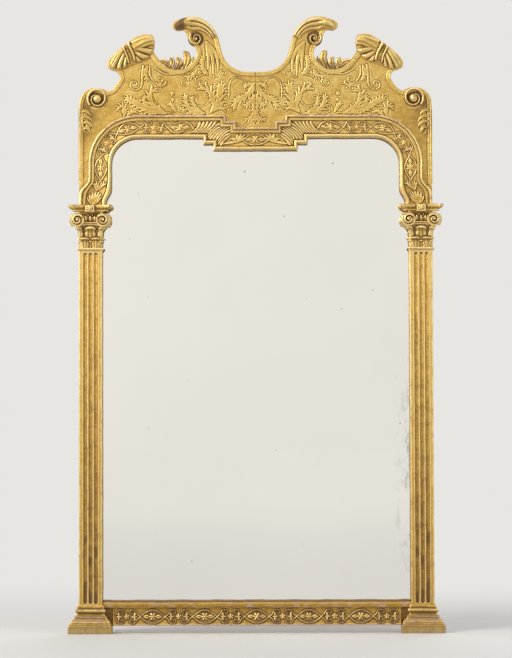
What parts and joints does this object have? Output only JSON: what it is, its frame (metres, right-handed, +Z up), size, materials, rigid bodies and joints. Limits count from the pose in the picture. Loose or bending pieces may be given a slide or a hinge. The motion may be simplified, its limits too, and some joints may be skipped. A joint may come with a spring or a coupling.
{
  "type": "giltwood pier mirror",
  "caption": "Tall wall mirror in a carved giltwood frame with fluted pilasters, a stepped arched moulding and a scrolled crest; swinging hanging rings on the boarded back.",
  "frame": {"origin": "on the wall plane, at the centre of the middle back batten's rear face", "axes": "+X to the viewer's right across the front, +Y back into the wall, +Z up; the glass faces -Y"},
  "size_m": [0.938, 0.088, 1.5413],
  "materials": {
    "gilt_gesso": "carved pine and gesso, water gilded over red bole, rubbed and worn",
    "gilded_carcass": "pine, gilded on the front and ochre washed on the sides",
    "bare_pine": "old planed pine, oxidised",
    "mirror_plate": "old silvered glass, slightly grey and foxed at one edge",
    "brass": "dull aged brass",
    "iron": "dark forged iron"
  },
  "bodies": {
    "frame": {"backboard_1": "bare_pine", "backboard_2": "bare_pine", "backboard_3": "bare_pine", "backboard_nails": "iron", "batten_screws": "iron", "bottom_moulding": "gilt_gesso", "bottom_rail": "gilded_carcass", "centre_moulding": "gilt_gesso", "crest_board": "gilt_gesso", "crest_screws": "iron", "hanger_screws": "brass", "left_abacus": "gilt_gesso", "left_arch_foot": "gilt_gesso", "left_arch_moulding": "gilt_gesso", "left_astragal": "gilt_gesso", "left_base_moulding": "gilt_gesso", "left_capital_bell": "gilt_gesso", "left_capital_volutes": "gilt_gesso", "left_corner_leaf": "gilt_gesso", "left_corner_volute": "gilt_gesso", "left_crest_cleat": "bare_pine", "left_hanger_strap": "brass", "left_leaf_spray": "gilt_gesso", "left_plinth": "gilt_gesso", "left_scroll_leaf": "gilt_gesso", "left_scroll_volute": "gilt_gesso", "left_shaft": "gilt_gesso", "left_shoulder_cap": "gilt_gesso", "left_stile": "gilded_carcass", "left_top_moulding": "gilt_gesso", "lower_batten": "bare_pine", "middle_batten": "bare_pine", "mirror_plate": "mirror_plate", "plate_blocks": "bare_pine", "right_abacus": "gilt_gesso", "right_arch_foot": "gilt_gesso", "right_arch_moulding": "gilt_gesso", "right_astragal": "gilt_gesso", "right_base_moulding": "gilt_gesso", "right_capital_bell": "gilt_gesso", "right_capital_volutes": "gilt_gesso", "right_corner_leaf": "gilt_gesso", "right_corner_volute": "gilt_gesso", "right_crest_cleat": "bare_pine", "right_hanger_strap": "brass", "right_leaf_spray": "gilt_gesso", "right_plinth": "gilt_gesso", "right_scroll_leaf": "gilt_gesso", "right_scroll_volute": "gilt_gesso", "right_shaft": "gilt_gesso", "right_shoulder_cap": "gilt_gesso", "right_stile": "gilded_carcass", "right_top_moulding": "gilt_gesso", "sight_fillet": "gilt_gesso", "top_rail": "bare_pine", "upper_batten": "bare_pine"},
    "left_ring": {"left_hanger_ring": "brass"},
    "right_ring": {"right_hanger_ring": "brass"}
  },
  "joints": [
    {"name": "left_ring_swing", "type": "hinge", "parent": "frame", "child": "left_ring", "pos_m": [-0.4275, -0.017, 0.3425], "axis": [1, 0, 0], "range_deg": [0, 175]},
    {"name": "right_ring_swing", "type": "hinge", "parent": "frame", "child": "right_ring", "pos_m": [0.4275, -0.017, 0.3425], "axis": [1, 0, 0], "range_deg": [0, 175]}
  ]
}
